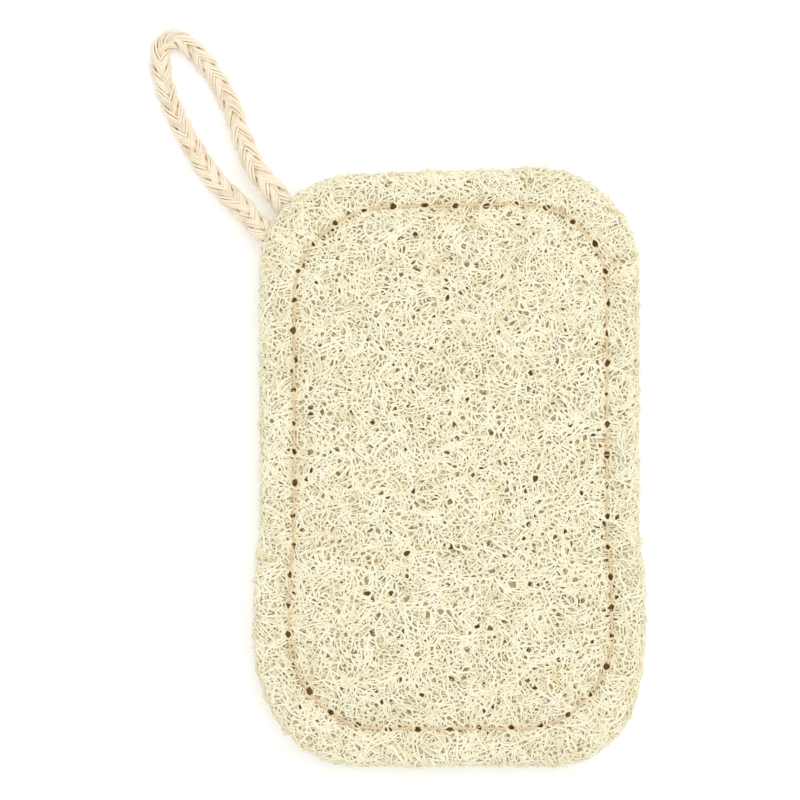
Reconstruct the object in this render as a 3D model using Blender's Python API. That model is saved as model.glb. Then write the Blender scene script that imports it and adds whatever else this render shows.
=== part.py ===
"""A flat loofah bath pad with a braided hanging loop, in metres.

The pad lies on its back. Its origin is the centre of its underside, +Z is its thickness
and +Y its length, with the loop at the corner towards -X and +Y. Three pressed loofah
layers are held by one lockstitch: a needle thread from above and a bobbin thread from
below, hooked through each other in every stitch hole. The ends of a braided cord lie
between the layers, and a stitch pierces each of them.
"""

import math

import bmesh
import bpy
import numpy as np
from mathutils import Vector

MM = 0.001
GAP = 0.3 * MM

# Cut edge and seam, each: left, right, bottom, top, then the radii at the
# top right, top left, bottom left and bottom right corners.
CUT_EDGE = [v * MM for v in (-40.0, 40.0, -63.0, 63.0, 21.5, 21.0, 21.5, 18.5)]
SEAM = [v * MM for v in (-32.6, 33.0, -54.8, 55.2, 18.0, 20.0, 18.0, 18.0)]
ARC_STEPS = 6
SIDE_STEPS = 4

# The edge is cut by hand: it bulges low down on both sides, and its top falls to the left.
BULGE = 1.3 * MM
BULGE_Y = -31.0 * MM
BULGE_SPAN = 13.0 * MM
TOP_SLOPE = 0.035
TOP_SLOPE_STARTS = 15.0 * MM

# Layers, from the underside at 0 to the top face. Each outer sheet steps down into a
# groove that the thread lies in. A step of 0 is the cut edge and 1 is the seam.
THICKNESS = 12.0 * MM
MIDDLE = THICKNESS / 2
INNER_HALF = 1.85 * MM
SHEET_INNER = 2.15 * MM
RIM_PROFILE = [
    (0.00, 3.7 * MM),
    (0.10, 4.5 * MM),
    (0.45, 4.9 * MM),
    (0.72, 4.6 * MM),
    (0.80, 3.4 * MM),
    (1.20, 3.4 * MM),
    (1.30, 4.5 * MM),
    (1.75, 5.6 * MM),
    (2.30, MIDDLE),
]

# Lockstitch
STITCHES = 50
THREAD_DIAMETER = 0.6 * MM
THREAD_LEG = 0.8 * MM
THREAD_LIFT = 3.4 * MM + GAP + THREAD_DIAMETER / 2
THREAD_HOOK = 0.5 * MM
STITCH_HOLE_DIAMETER = 3.0 * MM
STITCH_HOLE_SIDES = 6
FIRST_STITCH = Vector((-28.4, 47.3, 0.0)) * MM

# Cord
CORD_DIAMETER = 4.5 * MM
CORD_EXITS = [Vector((-34.8, 55.3, 6.0)) * MM, Vector((-38.6, 49.0, 6.0)) * MM]
PIVOT_STANDOFF = 3.6 * MM
TAIL_PAST_STITCH = 4.5 * MM
TAIL_SIDES = 16
LOOP_POINT_SPACING = 2.2 * MM
LOOP_END_STEPS = 3
# The loop's route between its two pivots: out of the pad, down onto the surface that the
# pad lies on, round the far end and back.
LOOP_ROUTE = [
    Vector(p) * MM
    for p in (
        (-38.9, 60.4, 5.7),
        (-41.3, 63.8, 4.9),
        (-43.1, 68.2, 3.9),
        (-44.7, 72.5, 3.1),
        (-46.1, 76.3, 2.6),
        (-48.0, 80.2, 2.3),
        (-50.8, 84.3, 2.3),
        (-53.9, 88.0, 2.3),
        (-57.3, 90.3, 2.3),
        (-60.0, 89.5, 2.3),
        (-61.1, 86.4, 2.3),
        (-60.5, 82.0, 2.3),
        (-58.9, 76.9, 2.3),
        (-56.9, 72.4, 2.4),
        (-54.5, 68.0, 2.8),
        (-51.9, 63.7, 3.5),
        (-48.9, 59.8, 4.4),
        (-45.6, 56.5, 5.2),
        (-43.0, 54.0, 5.8),
    )
]

LOOFAH_CREAM = (0.89, 0.82, 0.55)
LOOFAH_CORE = (0.80, 0.70, 0.42)
THREAD_TAN = (0.78, 0.58, 0.38)
CORD_COTTON = (0.90, 0.76, 0.58)


def clear_scene():
    for obj in list(bpy.data.objects):
        bpy.data.objects.remove(obj, do_unlink=True)


def material(name, colour, roughness):
    mat = bpy.data.materials.new(name)
    mat.use_nodes = True
    shader = mat.node_tree.nodes["Principled BSDF"]
    shader.inputs["Base Color"].default_value = (*colour, 1.0)
    shader.inputs["Roughness"].default_value = roughness
    shader.inputs["Metallic"].default_value = 0.0
    return mat


def add_object(name, data, mat=None):
    obj = bpy.data.objects.new(name, data)
    bpy.context.scene.collection.objects.link(obj)
    if mat:
        data.materials.append(mat)
    return obj


def as_helper(obj):
    obj.hide_render = True
    obj.display_type = "WIRE"
    return obj


def cut(obj, cutter):
    modifier = obj.modifiers.new(f"cut_by_{cutter.name}", "BOOLEAN")
    modifier.operation = "DIFFERENCE"
    modifier.solver = "EXACT"
    modifier.object = cutter


def hand_cut(x, y):
    """Moves a point of the regular outline to where the hand-cut one lies."""
    bulge = BULGE * math.exp(-(((y - BULGE_Y) / BULGE_SPAN) ** 4))
    fall = TOP_SLOPE * max(0.0, TOP_SLOPE_STARTS - x) * (max(0.0, y) / CUT_EDGE[3]) ** 4
    return x + bulge * x / CUT_EDGE[1], y - fall


def ring(step, arc_steps=ARC_STEPS, side_steps=SIDE_STEPS):
    """The outline at a step from the cut edge (0) through the seam (1), counter-clockwise."""
    left, right, bottom, top, *radii = [
        edge + (seam - edge) * step for edge, seam in zip(CUT_EDGE, SEAM)
    ]
    corners = [
        (right - radii[0], top - radii[0], radii[0], 0.0),
        (left + radii[1], top - radii[1], radii[1], 90.0),
        (left + radii[2], bottom + radii[2], radii[2], 180.0),
        (right - radii[3], bottom + radii[3], radii[3], 270.0),
    ]
    arcs = []
    for x, y, radius, start in corners:
        angles = [math.radians(start + 90.0 * i / arc_steps) for i in range(arc_steps + 1)]
        arcs.append([(x + radius * math.cos(a), y + radius * math.sin(a)) for a in angles])
    outline = []
    for arc, following in zip(arcs, arcs[1:] + arcs[:1]):
        outline += arc
        (x0, y0), (x1, y1) = arc[-1], following[0]
        for i in range(1, side_steps):
            outline.append((x0 + (x1 - x0) * i / side_steps, y0 + (y1 - y0) * i / side_steps))
    return [hand_cut(x, y) for x, y in outline]


def add_ring(bm, step, z):
    return [bm.verts.new((x, y, z)) for x, y in ring(step)]


def skin(bm, rings):
    """Joins rings from the lowest to the highest and closes both ends."""
    for lower, upper in zip(rings, rings[1:]):
        for i, vert in enumerate(lower):
            j = (i + 1) % len(lower)
            bm.faces.new((vert, lower[j], upper[j], upper[i]))
    bm.faces.new(reversed(rings[0]))
    bm.faces.new(rings[-1])


def mesh_object(name, bm, mat=None):
    bmesh.ops.recalc_face_normals(bm, faces=bm.faces)
    mesh = bpy.data.meshes.new(name)
    bm.to_mesh(mesh)
    bm.free()
    return add_object(name, mesh, mat)


def outer_sheet(name, side, mat):
    """A pressed sheet on one side of the middle: side is 1 for the front and -1 for the back."""
    bm = bmesh.new()
    rings = [add_ring(bm, 0.0, MIDDLE + side * SHEET_INNER)]
    for step, height in RIM_PROFILE:
        rings.append(add_ring(bm, step, MIDDLE + side * height))
    skin(bm, rings)
    return mesh_object(name, bm, mat)


def inner_layer(name, mat):
    bm = bmesh.new()
    skin(bm, [add_ring(bm, 0.0, MIDDLE + side * INNER_HALF) for side in (-1, 1)])
    return mesh_object(name, bm, mat)


def stitch_holes():
    """Each stitch's place on the seam and the seam's direction there, counter-clockwise."""
    loop = np.array(ring(1.0, arc_steps=24, side_steps=24))
    closed = np.vstack([loop, loop[:1]])
    along = np.concatenate([[0.0], np.cumsum(np.linalg.norm(np.diff(closed, axis=0), axis=1))])
    nearest = np.linalg.norm(loop - np.array(FIRST_STITCH[:2]), axis=1).argmin()
    length = along[-1]

    def seam_at(distance):
        wrapped = (along[nearest] + distance) % length
        return Vector([np.interp(wrapped, along, closed[:, k]) for k in (0, 1)] + [0.0])

    pitch = length / STITCHES
    holes = []
    for i in range(STITCHES):
        here = seam_at(i * pitch)
        ahead = (seam_at(i * pitch + pitch / 20) - seam_at(i * pitch - pitch / 20)).normalized()
        holes.append((here, ahead, seam_at((i + 0.5) * pitch)))
    return holes


def add_prism(bm, centre, direction, radius, length, sides):
    """A closed round bar along a direction, centred on a point."""
    turn = Vector((0, 0, 1)).rotation_difference(direction).to_matrix().to_4x4()
    turn.translation = centre
    bmesh.ops.create_cone(
        bm, cap_ends=True, segments=sides, radius1=radius, radius2=radius, depth=length, matrix=turn
    )


def stitch_hole_cutter(holes):
    bm = bmesh.new()
    for here, _, _ in holes:
        add_prism(
            bm,
            here + Vector((0, 0, MIDDLE)),
            Vector((0, 0, 1)),
            STITCH_HOLE_DIAMETER / 2,
            2 * THICKNESS,
            STITCH_HOLE_SIDES,
        )
    return as_helper(mesh_object("stitch_hole_cutter", bm))


def tube(name, points, diameter, mat, bevel_resolution, cyclic=False, radii=None, origin=None):
    """A round cord through the points, with closed ends unless it is a ring."""
    curve = bpy.data.curves.new(name, "CURVE")
    curve.dimensions = "3D"
    curve.bevel_depth = diameter / 2
    curve.bevel_resolution = bevel_resolution
    curve.use_fill_caps = not cyclic
    spline = curve.splines.new("POLY")
    spline.points.add(len(points) - 1)
    spline.use_cyclic_u = cyclic
    spline.use_smooth = True
    place = origin or Vector((0, 0, 0))
    for i, point in enumerate(points):
        spline.points[i].co = (*(point - place), 1.0)
        spline.points[i].radius = radii[i] if radii else 1.0
    obj = add_object(name, curve, mat)
    obj.location = place
    return obj


def needle_thread(holes, mat):
    """Runs along the front groove and dips to a hook in each hole, its legs along the seam."""
    top = Vector((0, 0, MIDDLE + THREAD_LIFT))
    hook = Vector((0, 0, MIDDLE - THREAD_HOOK))
    points = []
    for here, ahead, halfway in holes:
        leg = ahead * THREAD_LEG
        points += [here - leg + top, here - leg + hook, here + leg + hook, here + leg + top]
        points.append(halfway + top)
    return tube("needle_thread", points, THREAD_DIAMETER, mat, 1, cyclic=True)


def bobbin_thread(holes, mat):
    """Runs along the back groove and rises to hook over the needle thread, its legs across the seam."""
    base = Vector((0, 0, MIDDLE - THREAD_LIFT))
    hook = Vector((0, 0, MIDDLE + THREAD_HOOK))
    points = []
    for here, ahead, halfway in holes:
        leg = Vector((-ahead.y, ahead.x, 0.0)) * THREAD_LEG
        points += [here - leg + base, here - leg + hook, here + leg + hook, here + leg + base]
        points.append(halfway + base)
    return tube("bobbin_thread", points, THREAD_DIAMETER, mat, 1, cyclic=True)


def cord_tail(name, pivot, stitch, mat, cutter):
    """One end of the cord, clamped between the layers and pierced by its stitch."""
    inward = (stitch - pivot).normalized()
    start = pivot + inward * (CORD_DIAMETER / 2 + GAP)
    end = stitch + inward * TAIL_PAST_STITCH
    bm = bmesh.new()
    add_prism(
        bm, (start + end) / 2, inward, CORD_DIAMETER / 2, (end - start).length, TAIL_SIDES
    )
    tail = mesh_object(name, bm, mat)
    cut(tail, cutter)
    bm = bmesh.new()
    add_prism(
        bm,
        (start + end) / 2,
        inward,
        CORD_DIAMETER / 2 + GAP,
        (end - start).length + 2 * GAP,
        TAIL_SIDES,
    )
    return tail, as_helper(mesh_object(f"{name}_channel", bm))


def smooth_route(points, spacing):
    """Evenly spaced points on the Catmull-Rom curve through the given ones."""
    padded = [2 * points[0] - points[1], *points, 2 * points[-1] - points[-2]]
    fine = []
    for a, b, c, d in zip(padded, padded[1:], padded[2:], padded[3:]):
        for k in range(16):
            t = k / 16
            fine.append(
                0.5
                * (
                    2 * b
                    + (c - a) * t
                    + (2 * a - 5 * b + 4 * c - d) * t**2
                    + (3 * b - a - 3 * c + d) * t**3
                )
            )
    fine.append(points[-1])
    curve = np.array(fine)
    along = np.concatenate([[0.0], np.cumsum(np.linalg.norm(np.diff(curve, axis=0), axis=1))])
    even = np.linspace(0.0, along[-1], round(along[-1] / spacing) + 1)
    return [Vector([np.interp(s, along, curve[:, k]) for k in range(3)]) for s in even]


def hanging_loop(pivots, mat):
    """The free loop, with a round end on each pivot so that it turns clear of the tails."""
    route = smooth_route([pivots[0], *LOOP_ROUTE, pivots[1]], LOOP_POINT_SPACING)
    points, radii = list(route), [1.0] * len(route)
    starts = (route[0] - route[1]).normalized(), (route[-1] - route[-2]).normalized()
    for i in range(1, LOOP_END_STEPS + 1):
        angle = math.radians(84.0 * i / LOOP_END_STEPS)
        reach, radius = CORD_DIAMETER / 2 * math.sin(angle), math.cos(angle)
        points = [route[0] + starts[0] * reach, *points, route[-1] + starts[1] * reach]
        radii = [radius, *radii, radius]
    centre = (pivots[0] + pivots[1]) / 2
    return tube("hanging_loop", points, CORD_DIAMETER, mat, 3, radii=radii, origin=centre)


def main():
    clear_scene()
    cream = material("loofah_cream", LOOFAH_CREAM, 0.85)
    core = material("loofah_core", LOOFAH_CORE, 0.9)
    needle_cotton = material("needle_cotton", THREAD_TAN, 0.75)
    bobbin_cotton = material("bobbin_cotton", THREAD_TAN, 0.75)
    cord_cotton = material("cord_cotton", CORD_COTTON, 0.8)

    holes = stitch_holes()
    hole_cutter = stitch_hole_cutter(holes)
    layers = [
        outer_sheet("front_loofah_sheet", 1, cream),
        inner_layer("inner_loofah_layer", core),
        outer_sheet("back_loofah_sheet", -1, cream),
    ]
    needle_thread(holes, needle_cotton)
    bobbin_thread(holes, bobbin_cotton)

    mid = Vector((0, 0, MIDDLE))
    pivots = []
    for name, exit_point, hole in zip(("right", "left"), CORD_EXITS, holes):
        stitch = hole[0] + mid
        outward = (exit_point - stitch).normalized()
        pivots.append(exit_point + outward * PIVOT_STANDOFF)
        _, channel = cord_tail(f"cord_tail_{name}", pivots[-1], stitch, cord_cotton, hole_cutter)
        for layer in layers:
            cut(layer, channel)
    for layer in layers:
        cut(layer, hole_cutter)
    hanging_loop(pivots, cord_cotton)


main()
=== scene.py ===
import math

import bpy
import numpy as np
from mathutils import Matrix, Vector
from mathutils.geometry import delaunay_2d_cdt


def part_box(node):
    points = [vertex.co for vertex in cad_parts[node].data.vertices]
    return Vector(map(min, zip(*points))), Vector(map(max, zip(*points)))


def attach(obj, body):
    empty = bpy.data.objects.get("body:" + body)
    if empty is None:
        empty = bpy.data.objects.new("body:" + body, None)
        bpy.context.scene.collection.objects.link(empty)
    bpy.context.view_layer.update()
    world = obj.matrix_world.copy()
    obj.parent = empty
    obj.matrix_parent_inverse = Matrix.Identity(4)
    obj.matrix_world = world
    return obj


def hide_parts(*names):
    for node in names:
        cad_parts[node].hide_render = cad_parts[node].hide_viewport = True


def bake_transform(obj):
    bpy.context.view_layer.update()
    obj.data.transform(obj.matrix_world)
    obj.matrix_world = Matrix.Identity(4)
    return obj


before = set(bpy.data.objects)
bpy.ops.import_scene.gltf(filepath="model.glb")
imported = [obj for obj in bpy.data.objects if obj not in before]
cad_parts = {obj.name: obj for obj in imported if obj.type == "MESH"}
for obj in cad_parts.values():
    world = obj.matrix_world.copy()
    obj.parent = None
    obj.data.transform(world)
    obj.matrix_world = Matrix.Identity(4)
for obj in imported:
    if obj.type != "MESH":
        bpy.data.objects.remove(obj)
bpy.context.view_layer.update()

# A loofah bath pad: two outer sheets and an inner layer of vine fibre, sewn round with a
# lockstitch, and a braided cord that hangs from one corner. Each is built of real strands.
# Lengths below are in millimetres, and mesh_object() turns them into metres. Waves are
# given by their number, the shortest and the longest.
MM = 0.001
# Every random piece has a seed of its own, counted from this one.
SEED = 7

PAD_LOW = Vector(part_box("back_loofah_sheet")[0]) / MM
PAD_HIGH = Vector(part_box("front_loofah_sheet")[1]) / MM
MIDDLE = (PAD_LOW.z + PAD_HIGH.z) / 2

# The hand-cut outline, as part.py has it. Each box is: left, right, bottom, top, then the
# radii at the top right, top left, bottom left and bottom right corners.
BULGE, BULGE_Y, BULGE_SPAN = 1.3, -31.0, 13.0
TOP_SLOPE, TOP_SLOPE_STARTS = 0.035, 15.0
CUT_EDGE = (-40.0, 40.0, -63.0, 63.0, 21.5, 21.0, 21.5, 18.5)
SEAM = (-32.6, 33.0, -54.8, 55.2, 18.0, 20.0, 18.0, 18.0)
STITCHES = 50
FIRST_STITCH = (-28.4, 47.3)

# Cord, as part.py has it: from the end of one clamped tail, round the loop, to the other.
TAIL_ENDS = ((-25.76, 43.294, 6.0), (-28.492, 38.008, 6.0))
CORD_EXITS = ((-34.8, 55.3, 6.0), (-38.6, 49.0, 6.0))
PIVOTS = ((-36.965, 58.176, 6.0), (-41.037, 51.65, 6.0))
LOOP_ROUTE = (
    (-38.9, 60.4, 5.7),
    (-41.3, 63.8, 4.9),
    (-43.1, 68.2, 3.9),
    (-44.7, 72.5, 3.1),
    (-46.1, 76.3, 2.6),
    (-48.0, 80.2, 2.3),
    (-50.8, 84.3, 2.3),
    (-53.9, 88.0, 2.3),
    (-57.3, 90.3, 2.3),
    (-60.0, 89.5, 2.3),
    (-61.1, 86.4, 2.3),
    (-60.5, 82.0, 2.3),
    (-58.9, 76.9, 2.3),
    (-56.9, 72.4, 2.4),
    (-54.5, 68.0, 2.8),
    (-51.9, 63.7, 3.5),
    (-48.9, 59.8, 4.4),
    (-45.6, 56.5, 5.2),
    (-43.0, 54.0, 5.8),
)


# ---- meshes


def mesh_object(name, points, faces, attributes=None, smooth=True):
    """A mesh from points in millimetres and faces given as arrays of equal-length rows."""
    mesh = bpy.data.meshes.new(name)
    mesh.vertices.add(len(points))
    mesh.vertices.foreach_set("co", (np.asarray(points) * MM).astype(np.float32).ravel())
    corners = np.concatenate([f.ravel() for f in faces]).astype(np.int32)
    totals = np.concatenate([np.full(len(f), f.shape[1]) for f in faces])
    starts = np.concatenate([[0], np.cumsum(totals)[:-1]]).astype(np.int32)
    mesh.loops.add(len(corners))
    mesh.loops.foreach_set("vertex_index", corners)
    mesh.polygons.add(len(totals))
    mesh.polygons.foreach_set("loop_start", starts)
    mesh.update(calc_edges=True)
    for key, values in (attributes or {}).items():
        layer = mesh.attributes.new(key, "FLOAT", "POINT")
        layer.data.foreach_set("value", values.astype(np.float32))
    if smooth:
        mesh.shade_smooth()
    obj = bpy.data.objects.new(name, mesh)
    bpy.context.scene.collection.objects.link(obj)
    return obj


def unit(v):
    """Vectors of length 1."""
    return v / np.maximum(np.linalg.norm(v, axis=-1, keepdims=True), 1e-9)


class Lines:
    """Polylines end to end in one array of flat points, with the number of points of each."""

    def __init__(self, points, counts):
        self.points = np.asarray(points, float)
        self.counts = np.asarray(counts)

    @classmethod
    def of(cls, lines):
        return cls(np.concatenate(lines), [len(line) for line in lines])

    @property
    def last(self):
        return np.cumsum(self.counts) - 1

    @property
    def first(self):
        return self.last - self.counts + 1

    @property
    def owner(self):
        return np.repeat(np.arange(len(self.counts)), self.counts)

    @property
    def place(self):
        """Each point's number along its own line."""
        return np.arange(len(self.points)) - np.repeat(self.first, self.counts)

    def softened(self):
        """Each inner point moved half way to the middle of its neighbours."""
        p = self.points.copy()
        inner = np.ones(len(p), bool)
        inner[self.first] = inner[self.last] = False
        i = np.nonzero(inner)[0]
        p[i] = (p[i - 1] + 2 * p[i] + p[i + 1]) / 4
        return Lines(p, self.counts)

    def thinned(self, longest):
        """Without every second inner point, where that leaves no gap over the given length."""
        p = self.points
        keep = np.ones(len(p), bool)
        inner = (self.place % 2 == 1) & (self.place < np.repeat(self.counts, self.counts) - 1)
        i = np.nonzero(inner)[0]
        gap = np.linalg.norm(p[i + 1] - p[i - 1], axis=1)
        keep[i[gap < longest]] = False
        return Lines(p[keep], np.bincount(self.owner[keep], minlength=len(self.counts)))

    def refined(self, near):
        """With a point half way along each piece that near() marks at either end."""
        marked = near(self.points)
        joined = np.ones(len(self.points), bool)
        joined[self.last] = False
        i = np.nonzero(joined)[0]
        i = i[marked[i] | marked[i + 1]]
        middle = (self.points[i] + self.points[i + 1]) / 2
        counts = self.counts + np.bincount(self.owner[i], minlength=len(self.counts))
        return Lines(np.insert(self.points, i + 1, middle, axis=0), counts)


def tubes(name, lines, points, normals, radii, tints, sides):
    """Round strands along lines, each with its own frame from the surface normal, ends closed."""
    first, last = lines.first, lines.last
    index = np.arange(len(points))
    ahead, behind = np.minimum(index + 1, index[-1]), np.maximum(index - 1, 0)
    ahead[last] = last
    behind[first] = first
    along = unit(points[ahead] - points[behind])
    side = unit(np.cross(along, normals))
    up = np.cross(side, along)
    angle = 2 * np.pi * np.arange(sides)[:, None] / sides
    across = np.cos(angle) * side[:, None] + np.sin(angle) * up[:, None]
    rings = points[:, None] + radii[:, None, None] * across
    joined = np.ones(len(points), bool)
    joined[last] = False
    a = index[joined][:, None] * sides
    k = np.arange(sides)[None, :]
    k1 = (k + 1) % sides
    quads = np.stack([a + k, a + k1, a + sides + k1, a + sides + k], axis=2).reshape(-1, 4)
    caps = np.concatenate([first[:, None] * sides + k[:, ::-1], last[:, None] * sides + k])
    tint = np.repeat(tints, sides)
    return mesh_object(name, rings.reshape(-1, 3), [quads, caps], {"strand_tint": tint})


# ---- the pad's shape


def waves(rng, count, shortest, longest):
    """A smooth random field over the plane, mostly from -1 to 1: a sum of waves."""
    length = rng.uniform(shortest, longest, count)
    turn = rng.uniform(0, 2 * np.pi, count)
    shift = rng.uniform(0, 2 * np.pi, count)
    kx, ky = 2 * np.pi / length * np.cos(turn), 2 * np.pi / length * np.sin(turn)

    def field(p):
        phase = np.multiply.outer(p[:, 0], kx) + np.multiply.outer(p[:, 1], ky) + shift
        return np.sin(phase).sum(-1) / math.sqrt(count)

    return field


def rounded(x, y, box):
    """Distance outside a rounded rectangle (negative inside) and the outward direction there."""
    left, right, bottom, top, tr, tl, bl, br = box
    px, py = x - (left + right) / 2, y - (bottom + top) / 2
    r = np.where(py > 0, np.where(px > 0, tr, tl), np.where(px > 0, br, bl))
    qx, qy = np.abs(px) - (right - left) / 2 + r, np.abs(py) - (top - bottom) / 2 + r
    cx, cy = np.maximum(qx, 0), np.maximum(qy, 0)
    reach = np.hypot(cx, cy)
    corner = (qx > 0) & (qy > 0)
    nx = np.where(corner, cx / np.maximum(reach, 1e-9), (qx >= qy).astype(float)) * np.sign(px)
    ny = np.where(corner, cy / np.maximum(reach, 1e-9), (qx < qy).astype(float)) * np.sign(py)
    return reach + np.minimum(np.maximum(qx, qy), 0) - r, nx, ny


def outline(box, inset, arc_steps, side_steps):
    """Points round a rounded rectangle at a distance inside it, counter-clockwise."""
    left, right, bottom, top = box[0] + inset, box[1] - inset, box[2] + inset, box[3] - inset
    tr, tl, bl, br = [max(r - inset, 0.05) for r in box[4:]]
    corners = (
        (right - tr, top - tr, tr, 0.0),
        (left + tl, top - tl, tl, 90.0),
        (left + bl, bottom + bl, bl, 180.0),
        (right - br, bottom + br, br, 270.0),
    )
    arcs = []
    for x, y, radius, start in corners:
        a = np.radians(start + 90.0 * np.arange(arc_steps + 1) / arc_steps)
        arcs.append(np.stack([x + radius * np.cos(a), y + radius * np.sin(a)], axis=1))
    points = []
    for arc, following in zip(arcs, arcs[1:] + arcs[:1]):
        t = np.arange(1, side_steps)[:, None] / side_steps
        points += [arc, arc[-1] + (following[0] - arc[-1]) * t]
    return np.concatenate(points)


def hand_cut(x, y):
    """Moves a point of the regular outline to where the hand-cut one lies."""
    bulge = BULGE * np.exp(-(((y - BULGE_Y) / BULGE_SPAN) ** 4))
    near_top = (np.maximum(0.0, y) / CUT_EDGE[3]) ** 4
    fall = TOP_SLOPE * np.maximum(0.0, TOP_SLOPE_STARTS - x) * near_top
    return x + bulge * x / CUT_EDGE[1], y - fall


SEAM_STEPS = (24, 24)


def stitch_holes():
    """Each stitch's place on the seam, the seam's direction there and the point half way on."""
    loop = np.stack(hand_cut(*outline(SEAM, 0.0, *SEAM_STEPS).T), axis=1)
    closed = np.vstack([loop, loop[:1]])
    along = np.concatenate([[0.0], np.cumsum(np.linalg.norm(np.diff(closed, axis=0), axis=1))])
    start = along[np.linalg.norm(loop - np.array(FIRST_STITCH), axis=1).argmin()]
    pitch = along[-1] / STITCHES

    def seam_at(distance):
        wrapped = (start + distance) % along[-1]
        return np.array([np.interp(wrapped, along, closed[:, k]) for k in (0, 1)])

    made = []
    for i in range(STITCHES):
        s = i * pitch
        ahead = unit(seam_at(s + pitch / 20) - seam_at(s - pitch / 20))
        made.append((seam_at(s), ahead, seam_at(s + pitch / 2)))
    return made


# Height of a face above the middle, by distance inside the seam.
FACE_PROFILE = (
    (-7.4, 4.90),
    (-5.4, 5.15),
    (-3.4, 5.10),
    (-1.8, 4.75),
    (-0.8, 4.30),
    (0.0, 4.12),
    (0.8, 4.30),
    (2.0, 4.85),
    (3.6, 5.35),
    (6.0, 5.70),
    (10.0, 5.95),
)
# The face turns down over a rim, and runs this far on below it.
RIM_RADIUS = 2.3
SIDE_REACH = 1.6

# The rim's own unevenness: how far it strays, and its waves.
RAGGED = 0.22
RAGGED_WAVES = (24, 2.5, 9.0)
ragged = waves(np.random.default_rng(SEED + 60), *RAGGED_WAVES)

HOLES = stitch_holes()
NEEDLE_HOLE = 0.68
NEEDLE_HOLE_VARIES = (0.85, 1.15)
NEEDLE_STRETCH = 1.4
NEEDLE_STRAY = 0.14

# Pores of the vine. PORES are tried, and those too close to another are left out.
PORES = 3600
PORE_SMALLEST, PORE_LARGEST = 0.38, 0.64
PORE_FEW_LARGE = 2.2
PORE_STRETCH = (1.0, 1.9)
PORE_SPACING = 1.22
PORE_CHANCE, PORE_CHANCE_SWING = 0.5, 0.4
PORE_CHANCE_WAVES = (20, 6.0, 16.0)
PORES_IN_BORDER = 0.15
PORE_FREE_EDGE = 2
# A pore's outline is between a square on its corner (1) and a circle (2).
PORE_POWER = 1.35
# How softly the strands part round a pore.
PORE_SOFTNESS = 2.2
# The grid that finds the nearest pore: its cells, its margin, and how many of its radii a
# pore reaches, and how many count as near.
PORE_CELL = 0.2
PORE_MARGIN = 6
PORE_REACH = 3
PORE_NEAR = 1.9


def pore_size(a, b):
    """Distance from a pore's middle, measured so that the pore has four soft corners."""
    return (np.abs(a) ** PORE_POWER + np.abs(b) ** PORE_POWER) ** (1 / PORE_POWER)


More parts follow.
